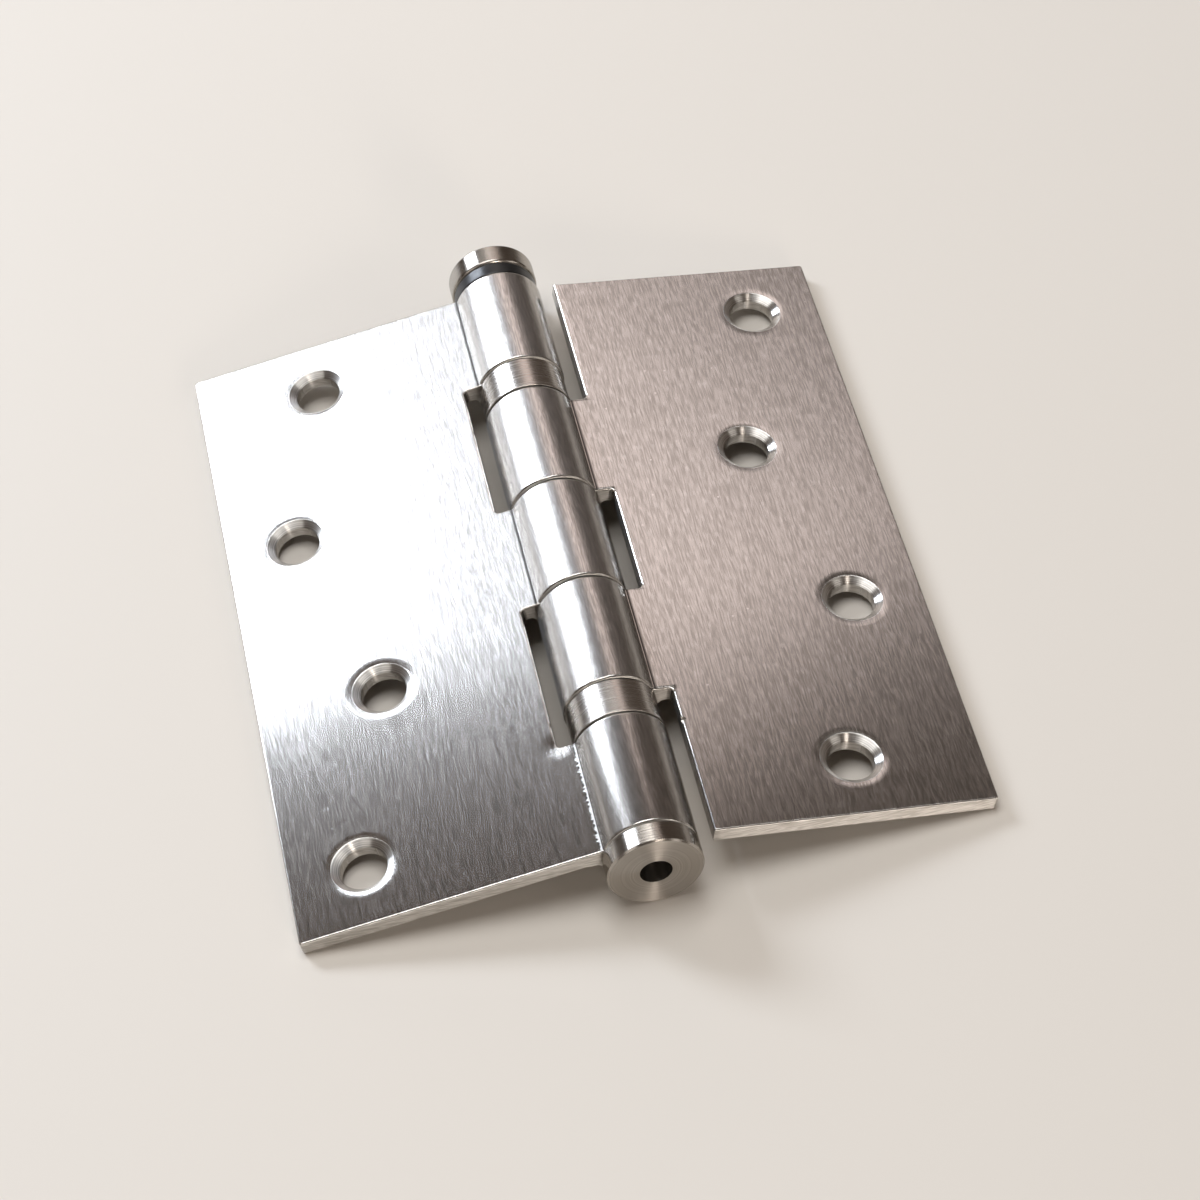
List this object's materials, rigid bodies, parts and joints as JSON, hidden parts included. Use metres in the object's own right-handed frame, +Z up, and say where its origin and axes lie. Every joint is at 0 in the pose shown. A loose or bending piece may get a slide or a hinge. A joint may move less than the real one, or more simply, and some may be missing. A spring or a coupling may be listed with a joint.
{
  "type": "ball bearing hinge",
  "caption": "Square-cornered stainless butt hinge lying open, its leaves with countersunk holes, rolled knuckles, ball bearings and a removable button-head pin.",
  "frame": {"origin": "middle of the hinge's bounding box on the surface that it lies on, under the pin's axis", "axes": "+Y along the pin towards its head, +X towards the right leaf, +Z up, out of the countersunk faces"},
  "size_m": [0.1014, 0.1244, 0.014],
  "materials": {
    "satin_stainless": "satin, brushed along the barrel",
    "turned_stainless": "fine turned",
    "sleeve_stainless": "polished satin",
    "hardened_steel": "ground",
    "black_nylon": "slight sheen",
    "cage_nylon": "moulded"
  },
  "bodies": {
    "left_leaf_body": {"left_leaf": "satin_stainless", "bottom_tip": "turned_stainless", "upper_bearing_top_race": "hardened_steel", "lower_bearing_bottom_race": "hardened_steel", "lower_bearing_sleeve": "sleeve_stainless"},
    "right_leaf_body": {"right_leaf": "satin_stainless", "upper_bearing_bottom_race": "hardened_steel", "upper_bearing_sleeve": "sleeve_stainless", "lower_bearing_top_race": "hardened_steel"},
    "upper_ball_ring": {"upper_bearing_cage": "cage_nylon", "upper_bearing_balls": "hardened_steel"},
    "lower_ball_ring": {"lower_bearing_cage": "cage_nylon", "lower_bearing_balls": "hardened_steel"},
    "pin_body": {"hinge_pin": "turned_stainless", "head_washer": "black_nylon"}
  },
  "joints": [
    {"name": "leaf_swing", "type": "hinge", "parent": "left_leaf_body", "child": "right_leaf_body", "pos_m": [0, 0, 0.007], "axis": [0, -1, 0], "range_deg": [-162.3, 156.5]},
    {"name": "upper_balls_roll", "type": "hinge", "parent": "left_leaf_body", "child": "upper_ball_ring", "pos_m": [0, 0, 0.007], "axis": [0, -1, 0], "range_deg": [-82, 82]},
    {"name": "lower_balls_roll", "type": "hinge", "parent": "left_leaf_body", "child": "lower_ball_ring", "pos_m": [0, 0, 0.007], "axis": [0, -1, 0], "range_deg": [-82, 82]},
    {"name": "pin_draw", "type": "slide", "parent": "left_leaf_body", "child": "pin_body", "axis": [0, 1, 0], "range_m": [0, 0.1]}
  ],
  "couplings": [
    {"joint": "upper_balls_roll", "follows": "leaf_swing", "ratio": 0.5},
    {"joint": "lower_balls_roll", "follows": "leaf_swing", "ratio": 0.5}
  ]
}
